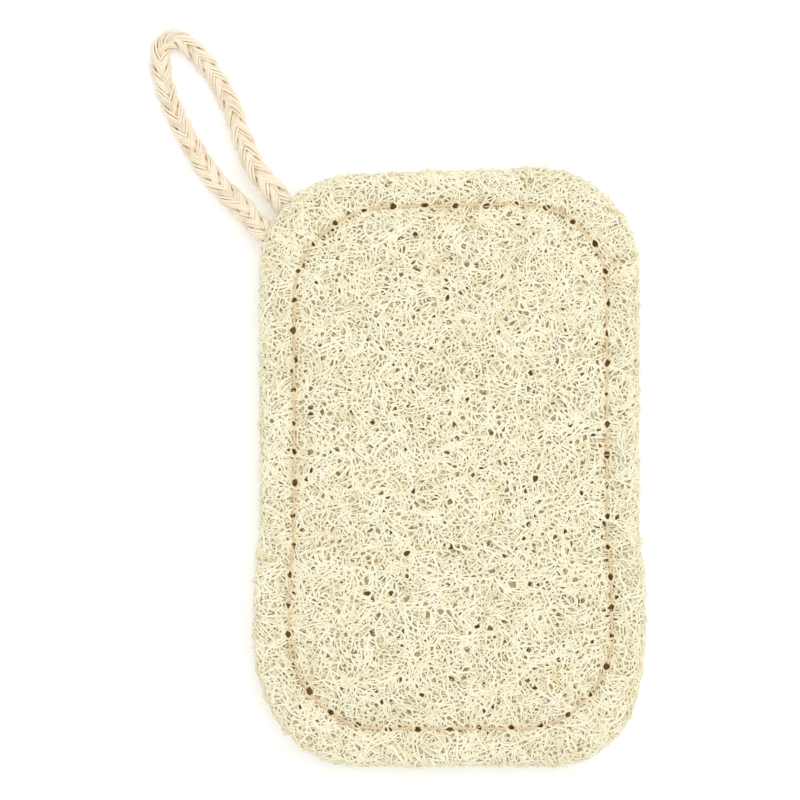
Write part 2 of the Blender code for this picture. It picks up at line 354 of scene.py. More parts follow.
class Pores:
    """The needle holes and the larger pores of the vine, each: x, y, radius, the direction in
    which it is long, and how long for its width. A fine grid holds which pore is nearest."""

    def __init__(self, rng, vine):
        found = []
        for here, ahead, _ in HOLES:
            x, y = here + rng.normal(0, NEEDLE_STRAY, 2)
            radius = NEEDLE_HOLE * rng.uniform(*NEEDLE_HOLE_VARIES)
            found.append((x, y, radius, *ahead, NEEDLE_STRETCH))
        if vine:
            found = self.add_pores(rng, np.array(found))
        self.all = np.array(found)
        self.low = np.array([CUT_EDGE[0], CUT_EDGE[2]]) - PORE_MARGIN
        high = np.array([CUT_EDGE[1], CUT_EDGE[3]]) + PORE_MARGIN
        self.shape = ((high - self.low) / PORE_CELL).astype(int)
        self.owner = np.full(self.shape, -1)
        nearest = np.full(self.shape, float(PORE_REACH))
        for n, (px, py, r, _, _, stretch) in enumerate(found):
            reach = int(PORE_REACH * r * stretch / PORE_CELL) + 2
            i0, j0 = ((np.array([px, py]) - self.low) / PORE_CELL).astype(int)
            window = (slice(max(i0 - reach, 0), i0 + reach), slice(max(j0 - reach, 0), j0 + reach))
            i, j = np.mgrid[window]
            x, y = self.low[0] + (i + 0.5) * PORE_CELL, self.low[1] + (j + 0.5) * PORE_CELL
            away = np.hypot(x - px, y - py) / (r * stretch)
            closer = away < nearest[window]
            self.owner[window][closer] = n
            nearest[window][closer] = away[closer]
        self.close = (self.owner >= 0) & (nearest < PORE_NEAR)

    def add_pores(self, rng, found):
        """Pores at random places, more of them where a slow field is high, none too close."""
        x = rng.uniform(CUT_EDGE[0], CUT_EDGE[1], PORES)
        y = rng.uniform(CUT_EDGE[2], CUT_EDGE[3], PORES)
        size = rng.uniform(0, 1, PORES) ** PORE_FEW_LARGE
        r = PORE_SMALLEST + (PORE_LARGEST - PORE_SMALLEST) * size
        turn = rng.uniform(0, np.pi, PORES)
        stretch = rng.uniform(*PORE_STRETCH, PORES)
        drawn = np.stack([x, y, r, np.cos(turn), np.sin(turn), stretch], axis=1)
        field = waves(rng, *PORE_CHANCE_WAVES)
        chance = PORE_CHANCE + PORE_CHANCE_SWING * field(drawn[:, :2])
        chance[rounded(x, y, SEAM)[0] > 0] *= PORES_IN_BORDER
        chance[rounded(x, y, CUT_EDGE)[0] > -PORE_FREE_EDGE] = 0
        for row in drawn[rng.uniform(0, 1, PORES) < chance]:
            if (((found[:, :2] - row[:2]) ** 2).sum(axis=1) > PORE_SPACING**2).all():
                found = np.vstack([found, row])
        return found

    def cells(self, x, y):
        """The grid's cell for each point."""
        i = ((x - self.low[0]) / PORE_CELL).astype(int).clip(0, self.shape[0] - 1)
        j = ((y - self.low[1]) / PORE_CELL).astype(int).clip(0, self.shape[1] - 1)
        return i, j

    def near(self, flat):
        """Which points of the flat sheet come to lie close to a pore."""
        return self.close[self.cells(*hand_cut(flat[:, 0], flat[:, 1]))]

    def opened(self, x, y):
        """Moves points aside, out of each pore."""
        owner = self.owner[self.cells(x, y)]
        i = np.nonzero(owner >= 0)[0]
        px, py, r, ux, uy, stretch = self.all[owner[i]].T
        dx, dy = x[i] - px, y[i] - py
        a, b = (dx * ux + dy * uy) / stretch, dy * ux - dx * uy
        d2 = np.maximum(pore_size(a, b), 1e-3) ** 2
        grow = np.sqrt(1 + r * r * np.exp(-d2 / (PORE_SOFTNESS * r * r)) / d2)
        a, b = a * grow * stretch, b * grow
        x, y = x.copy(), y.copy()
        x[i], y[i] = px + a * ux - b * uy, py + a * uy + b * ux
        return x, y


def face_height(x, y):
    """Height of the pressed face above the middle, at a point of the regular outline."""
    where, height = zip(*FACE_PROFILE)
    return np.interp(-rounded(x, y, SEAM)[0], where, height)


def on_face(x, y, depth, side, pores=None):
    """Lays points of a flat sheet over the pad's face and round its rim, at a depth below it."""
    outside, nx, ny = rounded(x, y, CUT_EDGE)
    past = np.maximum(outside + RIM_RADIUS, 0)
    angle = np.minimum(past / RIM_RADIUS, np.pi / 2)
    down = np.maximum(past - RIM_RADIUS * np.pi / 2, 0)
    x0, y0 = x - nx * past, y - ny * past
    height = face_height(x0, y0)
    rim = np.stack([x0 + nx * RIM_RADIUS, y0 + ny * RIM_RADIUS], axis=1)
    reach = (RIM_RADIUS + RAGGED * ragged(rim)) * np.sin(angle)
    drop = RIM_RADIUS * (1 - np.cos(angle)) + down
    normal = np.stack([nx * np.sin(angle), ny * np.sin(angle), np.cos(angle)], axis=1)
    px, py = hand_cut(x0 + nx * reach, y0 + ny * reach)
    if pores:
        px, py = pores.opened(px, py)
    point = np.stack([px, py, height - drop], axis=1) - normal * depth[:, None]
    point[:, 2] = MIDDLE + side * point[:, 2]
    normal[:, 2] *= side
    return point, normal


# ---- loofah fibre


NET_JITTER = 0.70
# A smooth field pulls the net this far, which packs its strands closer in some places and
# turns them alike.
NET_DRAWN = 0.55
NET_DRAWN_WAVES = (10, 5.0, 14.0)
ROW_BY_CELL = 0.87


def net(rng, cell, low, high, keep):
    """Strands of a vine's net: the cell walls round jittered seeds, joined into long lines.
    At each knot the two that lie straightest run on as one, and the third ends there."""
    columns = int((high[0] - low[0]) / cell) + 2
    rows = int((high[1] - low[1]) / (cell * ROW_BY_CELL)) + 2
    ix, iy = np.meshgrid(np.arange(columns), np.arange(rows))
    across, upward = (ix + 0.5 * (iy % 2)) * cell, iy * cell * ROW_BY_CELL
    seeds = np.stack([across + low[0], upward + low[1]], axis=-1).reshape(-1, 2)
    seeds += rng.uniform(-NET_JITTER, NET_JITTER, seeds.shape) * cell
    triangles = delaunay_2d_cdt([Vector(s) for s in seeds], [], [], 0, 1e-7)[2]
    corners = np.array([t[:3] for t in triangles])
    knots = seeds[corners].mean(axis=1)
    pull = [waves(rng, *NET_DRAWN_WAVES) for _ in range(2)]
    knots = knots + NET_DRAWN * np.stack([f(knots) for f in pull], axis=1)
    walls = {}
    for i in np.nonzero(keep(knots[:, 0], knots[:, 1]))[0]:
        a, b, c = sorted(corners[i])
        for edge in ((a, b), (b, c), (a, c)):
            walls.setdefault(edge, []).append(i)
    links = [pair for pair in walls.values() if len(pair) == 2]
    at = {}
    for number, (i, j) in enumerate(links):
        at.setdefault(i, []).append(number)
        at.setdefault(j, []).append(number)
    place = [tuple(k) for k in knots.tolist()]
    follows = {}
    for knot, numbers in at.items():
        if len(numbers) < 2:
            continue
        away = []
        for number in numbers:
            i, j = links[number]
            ax, ay = place[j if i == knot else i]
            dx, dy = ax - place[knot][0], ay - place[knot][1]
            size = math.hypot(dx, dy) or 1.0
            away.append((dx / size, dy / size))
        pairs = [
            (away[m][0] * away[n][0] + away[m][1] * away[n][1], m, n)
            for m in range(len(numbers))
            for n in range(m)
        ]
        _, m, n = min(pairs)
        follows[(knot, numbers[m])] = numbers[n]
        follows[(knot, numbers[n])] = numbers[m]
    used = set()

    def run_on(knot, number):
        more = []
        while follows.get((knot, number), number) not in used:
            number = follows[(knot, number)]
            used.add(number)
            i, j = links[number]
            knot = i if j == knot else j
            more.append(knot)
        return more

    lines = []
    for start, (i, j) in enumerate(links):
        if start not in used:
            used.add(start)
            lines.append(knots[run_on(i, start)[::-1] + [i, j] + run_on(j, start)])
    return Lines.of(lines).softened().softened()


def loose(rng, total, step, lengths, low, high, keep, wander):
    """Strands of a total length, evenly spread, each turning gently as it goes."""
    lines, length = [], 0.0
    while length < total:
        steps = int(rng.uniform(*lengths) / step)
        turns = rng.normal(0, wander) + rng.normal(0, wander * 0.9, steps)
        h = rng.uniform(0, 2 * np.pi) + np.cumsum(turns)
        strides = np.stack([np.cos(h), np.sin(h)], axis=1) * step
        line = rng.uniform(low, high) + np.cumsum(strides, axis=0)
        inside = keep(line[:, 0], line[:, 1])
        if not inside.all():
            line = line[: np.argmin(inside)]
        if len(line) > 2:
            lines.append(line)
            length += step * (len(line) - 1)
    return Lines.of(lines)


def ends_dive(lines, how_deep, how_far):
    """Extra depth at the ends of each line, which tucks them under their neighbours."""
    from_start = lines.place
    from_end = np.repeat(lines.counts, lines.counts) - 1 - from_start
    return how_deep * (np.exp(-from_start / how_far) + np.exp(-from_end / how_far))


STRAND_KNOBS, KNOB_PACE = 0.08, 1.7
TINT_SPREAD = 0.2


def strand_facts(rng, lines, radius, spread, tint):
    """Radii and tints of all points: each strand has its own, and is slightly knobbly."""
    each = radius * np.exp(rng.normal(0, spread, len(lines.counts)))
    knobs = 1 + STRAND_KNOBS * np.sin(KNOB_PACE * np.arange(len(lines.points)))
    tints = np.clip(rng.normal(tint, TINT_SPREAD, len(lines.counts)), 0, 1)
    return each[lines.owner] * knobs, tints[lines.owner]


SEAM_DEEPENING, SEAM_DEEPENING_WIDTH = 0.5, 0.9


def seam_deepened(lines, tints):
    """Deeper tints on the strands along the seam."""
    off = rounded(*lines.points.T, SEAM)[0]
    return tints + SEAM_DEEPENING * np.exp(-((off / SEAM_DEEPENING_WIDTH) ** 2))


# A piece with more faces than this is made as several, so that the export keeps them all.
MOST_FACES = 190000

# Nets, each: name, cell, depth below the face, how far that swells, radius and sides of
# the strands, tint, and the gap up to which every second point is left out (0 for none).
# A deeper net has a higher tint, so a darker one: painted shade.
NETS = (
    ("lower_net", 1.40, 0.80, 0.08, 0.25, 4, 0.42, 1.5),
    ("middle_net", 1.38, 0.56, 0.11, 0.25, 4, 0.34, 1.4),
    ("upper_net", 1.38, 0.34, 0.12, 0.245, 5, 0.30, 0.0),
)
NET_SWELL_WAVES = (24, 1.6, 5.0)
NET_ENDS_DIVE = (0.10, 0.6)
NET_SPREAD = 0.16

# Loose strands woven into the nets from above.
WOVEN_TOTAL = 10000
WOVEN_STEP = 0.62
WOVEN_LENGTHS = (2.5, 8.0)
WOVEN_WANDER = 0.20
WOVEN_DEPTH, WOVEN_SWAY = 0.34, 0.15
WOVEN_PACE = (0.6, 1.3)
WOVEN_ENDS_DIVE = (0.5, 0.8)
WOVEN_RADIUS, WOVEN_SIDES = 0.205, 5
WOVEN_TINT = 0.25
LOOSE_SPREAD = 0.18

# Fibre ends that stand off the cut rim.
FUZZ_TOTAL = 1700.0
FUZZ_STEP = 0.4
FUZZ_LENGTHS = (1.2, 3.2)
FUZZ_BAND = (-1.6, SIDE_REACH - 0.2)
FUZZ_WANDER = 0.25
FUZZ_DEPTH, FUZZ_LIFT, FUZZ_CURL = 0.35, (0.3, 1.0), 1.5
FUZZ_RADIUS, FUZZ_ROOT, FUZZ_TAPER = 0.12, 1.2, 0.6
FUZZ_SPREAD, FUZZ_TINT = 0.2, 0.3

SHEET_MARGIN = 3


def sheet_fibres(name, side, seed, pores, needle_holes):
    """The fibre of one outer sheet: nets below, and loose strands over and into them."""
    rng = np.random.default_rng(seed)
    low = np.array([CUT_EDGE[0], CUT_EDGE[2]]) - SHEET_MARGIN
    high = np.array([CUT_EDGE[1], CUT_EDGE[3]]) + SHEET_MARGIN

    def over_rim(x, y):
        return rounded(x, y, CUT_EDGE)[0] < SIDE_REACH

    def split_tubes(label, lines, points, normals, radii, tints, sides):
        """Strands as several pieces, each with fewer faces than about MOST_FACES. Strands
        as pieces small enough to keep all of their faces when they are exported.
        """
        shares = math.ceil(len(points) * sides * 2 / MOST_FACES)
        piece_of = (np.arange(len(lines.counts)) * shares // len(lines.counts))[lines.owner]
        for share in range(shares):
            i = piece_of == share
            counts = np.bincount(lines.owner[i], minlength=len(lines.counts))
            part = Lines(lines.points[i], counts[counts > 0])
            tag = f"{name}_{label}" + (f"_{share + 1}" if shares > 1 else "")
            made.append(tubes(tag, part, points[i], normals[i], radii[i], tints[i], sides))

    def edge_band(x, y):
        outside = rounded(x, y, CUT_EDGE)[0]
        return (outside > FUZZ_BAND[0]) & (outside < FUZZ_BAND[1])

    made = []
    lines = loose(rng, FUZZ_TOTAL, FUZZ_STEP, FUZZ_LENGTHS, low, high, edge_band, FUZZ_WANDER)
    grown = lines.place / np.repeat(lines.counts, lines.counts)
    lift = rng.uniform(*FUZZ_LIFT, len(lines.counts))[lines.owner]
    down = FUZZ_DEPTH - lift * grown**FUZZ_CURL
    points, normals = on_face(*lines.points.T, down, side, needle_holes)
    radii, tints = strand_facts(rng, lines, FUZZ_RADIUS, FUZZ_SPREAD, FUZZ_TINT)
    radii = radii * (FUZZ_ROOT - FUZZ_TAPER * grown)
    split_tubes("edge_fibres", lines, points, normals, radii, tints, 4)

    for label, cell, depth, swell, radius, sides, tint, longest in NETS:
        lines = net(rng, cell, low, high, over_rim)
        if longest:
            lines = lines.thinned(longest)
        lines = lines.refined(pores.near).refined(pores.near)
        field = waves(rng, *NET_SWELL_WAVES)
        down = depth + swell * field(lines.points) + ends_dive(lines, *NET_ENDS_DIVE)
        points, normals = on_face(*lines.points.T, down, side, pores)
        radii, tints = strand_facts(rng, lines, radius, NET_SPREAD, tint)
        split_tubes(label, lines, points, normals, radii, seam_deepened(lines, tints), sides)

    lines = loose(rng, WOVEN_TOTAL, WOVEN_STEP, WOVEN_LENGTHS, low, high, over_rim, WOVEN_WANDER)
    lines = lines.refined(needle_holes.near).refined(needle_holes.near)
    count = len(lines.counts)
    pace, shift = rng.uniform(*WOVEN_PACE, count), rng.uniform(0, 2 * np.pi, count)
    sway = np.sin(lines.place * pace[lines.owner] + shift[lines.owner])
    down = WOVEN_DEPTH + WOVEN_SWAY * sway + ends_dive(lines, *WOVEN_ENDS_DIVE)
    points, normals = on_face(*lines.points.T, down, side, needle_holes)
    radii, tints = strand_facts(rng, lines, WOVEN_RADIUS, LOOSE_SPREAD, WOVEN_TINT)
    tints = seam_deepened(lines, tints)
    split_tubes("woven_strands", lines, points, normals, radii, tints, WOVEN_SIDES)
    return made


def grid_faces(rings, per_ring):
    """Quads between rings of points that follow each other, each ring closed on itself."""
    r = np.arange(rings - 1)[:, None] * per_ring
    k = np.arange(per_ring)[None, :]
    k1 = (k + 1) % per_ring
    return np.stack([r + k, r + k1, r + per_ring + k1, r + per_ring + k], axis=2).reshape(-1, 4)


FELT_DEPTH = 0.94
FELT_BUMPS = 0.10
FELT_BUMP_WAVES = (30, 1.5, 5.0)
# Rings of the felt, by stretches: first and last inset, and step.
FELT_RINGS = ((-SIDE_REACH, 1.0, 0.3), (1.0, 12.0, 0.7), (12.0, 39.5, 1.4))
RING_STEPS = (20, 40)
# The felt's underside closes towards the middle, in a ring of this share of its size.
FELT_CLOSES = 0.02
# Half the gap between the outer sheets, and half the thickness of the inner layer.
LAYER_EDGE = 2.2
INNER_HALF = 2.0


def felt(name, side, seed):
    """The dense felt that the strands of an outer sheet grow out of."""
    rng = np.random.default_rng(seed)
    bumps = waves(rng, *FELT_BUMP_WAVES)
    rings = []
    for inset in np.concatenate([np.arange(*stretch) for stretch in FELT_RINGS]):
        flat = outline(CUT_EDGE, inset, *RING_STEPS)
        depth = FELT_DEPTH + FELT_BUMPS * bumps(flat)
        rings.append(on_face(*flat.T, depth, side)[0])
    count = len(rings[0])
    floor = rings[0].copy()
    floor[:, 2] = MIDDLE + side * LAYER_EDGE
    inner = floor.copy()
    inner[:, :2] *= FELT_CLOSES
    rings = [inner, floor] + rings
    quads = grid_faces(len(rings), count)
    caps = np.stack([np.arange(count)[::-1], np.arange(count) + (len(rings) - 1) * count])
    if side < 0:
        quads, caps = quads[:, ::-1], caps[:, ::-1]
    return mesh_object(name, np.concatenate(rings), [quads, caps])


# Rings of the cup in a pore, from its foot in the felt over its rim and down inside: share
# of the pore's size, and depth below the face. The felt's bumps stay below the last one.
# The cups are dark: painted shade in the needle holes, and in the pores the deeper fibre's
# tone with painted shade.
CUP = ((1.05, FELT_DEPTH), (0.95, 0.40), (0.8, 0.46), (0.5, 0.62))
CUP_SIDES = 12


def shade_cups(name, side, pores):
    """Dark cups inside the pores and needle holes, under the strands, one in each: painted
    shade, with the deeper fibre's tone in the pores.
    """
    sides = CUP_SIDES
    angle = 2 * np.pi * np.arange(sides) / sides
    ring = np.stack([np.cos(angle), np.sin(angle)])
    ring /= pore_size(*ring)
    points, quads, caps = [], [], []
    for n, (px, py, r, ux, uy, stretch) in enumerate(pores):
        moved_x, moved_y = hand_cut(np.array([px]), np.array([py]))
        flat_height = float(face_height(2 * px - moved_x, 2 * py - moved_y)[0])
        rings = []
        for share, below in CUP:
            a, b = r * share * stretch * ring[0], r * share * ring[1]
            x, y = px + a * ux - b * uy, py + a * uy + b * ux
            z = np.full(sides, MIDDLE + side * (flat_height - below))
            rings.append(np.stack([x, y, z], axis=1))
        points.append(np.concatenate(rings))
        first = n * len(CUP) * sides
        quads.append(grid_faces(len(CUP), sides) + first)
        caps.append(np.arange(sides) + first + (len(CUP) - 1) * sides)
    quads, caps = np.concatenate(quads), np.stack(caps)
    if side < 0:
        quads, caps = quads[:, ::-1], caps[:, ::-1]
    return mesh_object(name, np.concatenate(points), [quads, caps])


# ---- inner layer


WALL_STEPS = (40, 60)


def wall_frame():
    """The cut edge by arc length: points, outward directions and the distance along."""
    flat = outline(CUT_EDGE, 0.0, *WALL_STEPS)
    loop = np.stack(hand_cut(*flat.T), axis=1)
    closed = np.vstack([loop, loop[:1]])
    along = np.concatenate([[0.0], np.cumsum(np.linalg.norm(np.diff(closed, axis=0), axis=1))])
    t = unit(np.roll(loop, -1, axis=0) - np.roll(loop, 1, axis=0))
    out = np.stack([t[:, 1], -t[:, 0]], axis=1)
    return closed, np.vstack([out, out[:1]]), along


# Layers of strands on the inner layer's cut edge, each: name, total length, depth, radius
# and tint. The deeper layer has the darker tint: painted shade.
WALL_LAYERS = (("under", 4500, 0.75, 0.2, 0.75), ("over", 4500, 0.35, 0.19, 0.5))
WALL_STEP = 0.7
WALL_LENGTHS = (2.0, 7.0)
WALL_WANDER = 0.25
WALL_SWAY, WALL_PACE = 0.2, 0.9
WALL_ENDS_DIVE = (0.4, 0.8)
# The wall is hollow along its upper and lower edges by this much.
WALL_ROUND = 0.35
WALL_MARGIN = 0.5
# No strand comes closer than this to the middle of the cord where it goes in.
CORD_CLEARANCE = 2.6
# The felt behind the strands, in sections: inset and height.
INNER_SECTION = (
    (30.0, -INNER_HALF),
    (1.3, -INNER_HALF),
    (1.0, -1.2),
    (1.0, 1.2),
    (1.3, INNER_HALF),
    (30.0, INNER_HALF),
)


def inner_fibres(seed):
    """The inner layer's cut edge, a band of strands between the two outer sheets."""
    rng = np.random.default_rng(seed)
    closed, outs, along = wall_frame()
    length = along[-1]

    def keep(u, v):
        return np.abs(v) < INNER_HALF

    def on_wall(flat, depth):
        u = flat[:, 0] % length
        x, y = [np.interp(u, along, closed[:, k]) for k in (0, 1)]
        n = unit(np.stack([np.interp(u, along, outs[:, k]) for k in (0, 1)], axis=1))
        recess = depth + WALL_ROUND * (flat[:, 1] / INNER_HALF) ** 2
        x, y, z = x - n[:, 0] * recess, y - n[:, 1] * recess, MIDDLE + flat[:, 1]
        points = np.stack([x, y, z], axis=1)
        return points, np.concatenate([n, np.zeros((len(n), 1))], axis=1)

    low = np.array([0.0, -INNER_HALF - WALL_MARGIN])
    high = np.array([length, INNER_HALF + WALL_MARGIN])
    made = []
    for label, total, depth, radius, tint in WALL_LAYERS:
        lines = loose(rng, total, WALL_STEP, WALL_LENGTHS, low, high, keep, WALL_WANDER)
        sway = WALL_SWAY * np.sin(lines.place * WALL_PACE)
        points, normals = on_wall(lines.points, depth + sway + ends_dive(lines, *WALL_ENDS_DIVE))
        clear = np.ones(len(lines.counts), bool)
        for x, y, _ in CORD_EXITS:
            away = (points[:, 0] - x) ** 2 + (points[:, 1] - y) ** 2
            clear[lines.owner[away < CORD_CLEARANCE**2]] = False
        kept = clear[lines.owner]
        lines = Lines(lines.points[kept], lines.counts[clear])
        radii, tints = strand_facts(rng, lines, radius, LOOSE_SPREAD, tint)
        name = f"inner_layer_{label}"
        made.append(tubes(name, lines, points[kept], normals[kept], radii, tints, 4))
    return made


def inner_felt():
    """The inner layer itself, seen only between the strands on its edge."""
    rings = []
    for inset, z in INNER_SECTION:
        x, y = hand_cut(*outline(CUT_EDGE, inset, *RING_STEPS).T)
        rings.append(np.stack([x, y, np.full(len(x), MIDDLE + z)], axis=1))
    count = len(rings[0])
    caps = np.stack([np.arange(count)[::-1], np.arange(count) + (len(rings) - 1) * count])
    quads = grid_faces(len(rings), count)
    return mesh_object("inner_layer_felt", np.concatenate(rings), [quads, caps])


# ---- thread and cord


CURVE_STEPS = 16


def smooth_route(points, spacing, closed=False):
    """Evenly spaced points on the Catmull-Rom curve through the given ones."""
    p = np.asarray(points, float)
    if closed:
        padded = np.vstack([p[-1:], p, p[:2]])
    else:
        padded = np.vstack([2 * p[0] - p[1], p, 2 * p[-1] - p[-2]])
    t = np.arange(CURVE_STEPS)[:, None] / CURVE_STEPS
    a, b, c, d = [padded[i : len(padded) - 3 + i, None] for i in range(4)]
    squared, cubed = 2 * a - 5 * b + 4 * c - d, 3 * b - a - 3 * c + d
    fine = (0.5 * (2 * b + (c - a) * t + squared * t**2 + cubed * t**3)).reshape(-1, 3)
    fine = np.vstack([fine, fine[:1] if closed else p[-1:]])
    along = np.concatenate([[0.0], np.cumsum(np.linalg.norm(np.diff(fine, axis=0), axis=1))])
    even = np.linspace(0.0, along[-1], round(along[-1] / spacing) + 1)
    if closed:
        even = even[:-1]
    return np.stack([np.interp(even, along, fine[:, k]) for k in range(3)], axis=1), even


def carried_frames(path):
    """Tangent and two cross directions along a path, turning no more than they must."""
    along = unit(np.gradient(path, axis=0))
    side = np.zeros_like(along)
    side[0] = unit(np.cross(along[0], (0, 0, 1)))
    for i in range(1, len(path)):
        side[i] = unit(side[i - 1] - along[i] * (side[i - 1] @ along[i]))
    return along, side, np.cross(side, along)


# Braid: the carriers' bundles of yarns, and the core that they wind round.
CORD_STEP = 0.42
CARRIERS = 8
YARNS = 4
BRAID_PITCH = 17.6
BRAID_RADIUS = 1.75
# How far a bundle rises over the others and sinks under them, and how sharply.
BRAID_WEAVE, WEAVE_SHARPNESS = 0.34, 2.2
# How far a bundle falls away to its sides.
BUNDLE_ROUND = 0.12
YARN_RADIUS, YARN_SIDES = 0.285, 6
YARN_STEP = 0.485
CORE_RADIUS, CORE_SIDES = 1.30, 12
# The cord's thickness along its length, from one end to the other, as in the photo.
GIRTH = (
    (0.00, 1.12),
    (0.16, 1.12),
    (0.26, 0.98),
    (0.45, 0.95),
    (0.56, 1.00),
    (0.75, 1.06),
    (0.84, 1.12),
    (1.00, 1.12),
)
# Unevenness of the bundles and yarns, each: how much, and its slowest and fastest pace.
BUNDLE_DRIFT = (0.14, 0.15, 0.45)
BUNDLE_SHADE = (0.15, 0.3, 1.1)
YARN_SWAY = (0.05, 0.5, 0.9)
# Tints: a bundle's own, the most that a yarn adds, and the painted shade that sinking
# under adds.
BUNDLE_TINT, YARN_TINT, UNDER_PAINTED_SHADE = 0.12, 0.25, 0.14

# Short stray hairs of the yarns.
HAIRS = 900
HAIR_RADIUS = 0.04
HAIR_LENGTH = (1.0, 2.6)
HAIR_HEIGHT = (0.25, 0.85)
HAIR_LEAN = 0.7
HAIR_POINTS, HAIR_SIDES = 7, 3
HAIR_TINT = 0.1


def stray_hairs(path, side, up, girth):
    """Short cotton hairs that arc off the braid and back into it."""
    rng = np.random.default_rng(SEED + 6)
    at = rng.integers(0, len(path), HAIRS)
    angle = rng.uniform(0.0, 2 * np.pi, HAIRS)
    out = np.cos(angle)[:, None] * side[at] + np.sin(angle)[:, None] * up[at]
    along = unit(np.gradient(path, axis=0))[at]
    lean = rng.uniform(-HAIR_LEAN, HAIR_LEAN, HAIRS)[:, None]
    run = unit(along + lean * np.cross(along, out))
    t = np.linspace(0.0, 1.0, HAIR_POINTS)
    arc = rng.uniform(*HAIR_HEIGHT, HAIRS)[:, None] * np.sin(np.pi * t)
    reach = (girth[at] * BRAID_RADIUS)[:, None] + arc
    slide = rng.uniform(*HAIR_LENGTH, HAIRS)[:, None] * (t - 0.5)
    hairs = path[at][:, None] + reach[..., None] * out[:, None] + slide[..., None] * run[:, None]
    hairs[..., 2] = np.maximum(hairs[..., 2], HAIR_RADIUS)
    laid = Lines.of([hair[:, :2] for hair in hairs])
    points = hairs.reshape(-1, 3)
    normals = np.repeat(out, HAIR_POINTS, axis=0)
    radii, tints = [np.full(len(points), value) for value in (HAIR_RADIUS, HAIR_TINT)]
    return tubes("cord_hairs", laid, points, normals, radii, tints, HAIR_SIDES)


def uneven(rng, s, much, slowest, fastest):
    """A slow random swing along a strand."""
    return much * np.sin(s * rng.uniform(slowest, fastest) + rng.uniform(0, 2 * np.pi))


def braided_cord():
    """A round cotton braid: half its carriers wind each way, each over two and under two."""
    ends_in = [TAIL_ENDS[0], CORD_EXITS[0], PIVOTS[0]]
    ends_out = [PIVOTS[1], CORD_EXITS[1], TAIL_ENDS[1]]
    path, s = smooth_route([*ends_in, *LOOP_ROUTE, *ends_out], CORD_STEP)
    rng = np.random.default_rng(SEED + 5)
    lines, normals, tints = [], [], []
    _, side, up = carried_frames(path)
    slant = math.cos(math.atan(2 * np.pi * BRAID_RADIUS / BRAID_PITCH))
    girth = np.interp(s / s[-1], *zip(*GIRTH))
    for carrier in range(CARRIERS):
        way = 1 if carrier % 2 else -1
        drift = uneven(rng, s, *BUNDLE_DRIFT)
        turn = carrier // 2 * 4 * np.pi / CARRIERS + way * 2 * np.pi * s / BRAID_PITCH + drift
        shade = BUNDLE_TINT + uneven(rng, s, *BUNDLE_SHADE)
        for yarn in range(YARNS):
            place = yarn - (YARNS - 1) / 2
            sway = uneven(rng, s, *YARN_SWAY)
            angle = turn + (place * YARN_STEP + sway) / (BRAID_RADIUS * slant)
            over = way * np.tanh(WEAVE_SHARPNESS * np.sin(2 * angle))
            r = girth * (BRAID_RADIUS + BRAID_WEAVE * over - BUNDLE_ROUND * place**2)
            out = np.cos(angle)[:, None] * side + np.sin(angle)[:, None] * up
            lines.append(path + r[:, None] * out)
            normals.append(out)
            # A yarn is tinted darker where it sinks under the others: painted shade.
            tints.append(shade + rng.uniform(0.0, YARN_TINT) + UNDER_PAINTED_SHADE * (0.5 - 0.5 * over))
    laid = Lines.of([line[:, :2] for line in lines])
    points, normals, tints = [np.concatenate(rows) for rows in (lines, normals, tints)]
    radii = YARN_RADIUS * np.tile(girth, CARRIERS * YARNS)
    yarns = tubes("cord_yarns", laid, points, normals, radii, tints, YARN_SIDES)
    # The heart takes the darkest cotton tone: painted shade where it shows between the bundles.
    core = path[::2]
    upward, ones = np.tile((0.0, 0.0, 1.0), (len(core), 1)), np.ones(len(core))
    laid = Lines(core, [len(core)])
    heart = tubes("cord_heart", laid, core, upward, CORE_RADIUS * ones, ones, CORE_SIDES)
    hairs = stray_hairs(path, side, up, girth)
    bpy.ops.object.select_all(action="DESELECT")
    for piece in (heart, hairs, yarns):
        piece.select_set(True)
    bpy.context.view_layer.objects.active = yarns
    bpy.ops.object.join()
    yarns.name = "braided_cord"
    return yarns, path


# Thread, by distance from a needle hole's middle along the seam, and by height from the
# middle of the pad: it bends down at THREAD_BEND, and its legs end in a hook.
THREAD_BEND = 1.45
THREAD_LEG = 0.95
THREAD_HEIGHT = 3.97
THREAD_DIP, THREAD_RISE = 0.5, 0.1
THREAD_HOOK = 0.5
THREAD_STEP = 0.4
PLIES = 3
PLY_RADIUS, PLY_SIDES = 0.20, 5
PLY_WIND = 0.18
PLY_PITCH = 1.9
PLY_TINTS = (0.2, 0.5, 0.8)


def thread(name, side):
    """A three-ply thread of the lockstitch, with its hooks in the needle holes."""
    points = []
    for here, ahead, halfway in HOLES:
        lead = ahead if side > 0 else np.array([ahead[1], -ahead[0]])
        leg = lead * THREAD_LEG
        high, low = side * THREAD_HEIGHT, -side * THREAD_HOOK
        dipped = high - side * THREAD_DIP
        stitch = (
            (here - ahead * THREAD_BEND, high),
            (here - leg, dipped),
            (here - leg, low),
            (here + leg, low),
            (here + leg, dipped),
            (here + ahead * THREAD_BEND, high),
            (halfway, high + side * THREAD_RISE),
        )
        points += [(*xy, MIDDLE + z) for xy, z in stitch]
    path, s = smooth_route(points, THREAD_STEP, closed=True)
    _, around, up = carried_frames(path)
    lines, normals = [], []
    turns = round(s[-1] / PLY_PITCH)
    for ply in range(PLIES):
        angle = 2 * np.pi * (ply / PLIES + turns * np.arange(len(s)) / len(s))
        out = np.cos(angle)[:, None] * around + np.sin(angle)[:, None] * up
        lines.append(path + PLY_WIND * out)
        normals.append(out)
    laid = Lines.of([line[:, :2] for line in lines])
    points, normals = np.concatenate(lines), np.concatenate(normals)
    radii, tints = np.full(len(points), PLY_RADIUS), np.repeat(PLY_TINTS, len(s))
    return tubes(name, laid, points, normals, radii, tints, PLY_SIDES)


# ---- materials


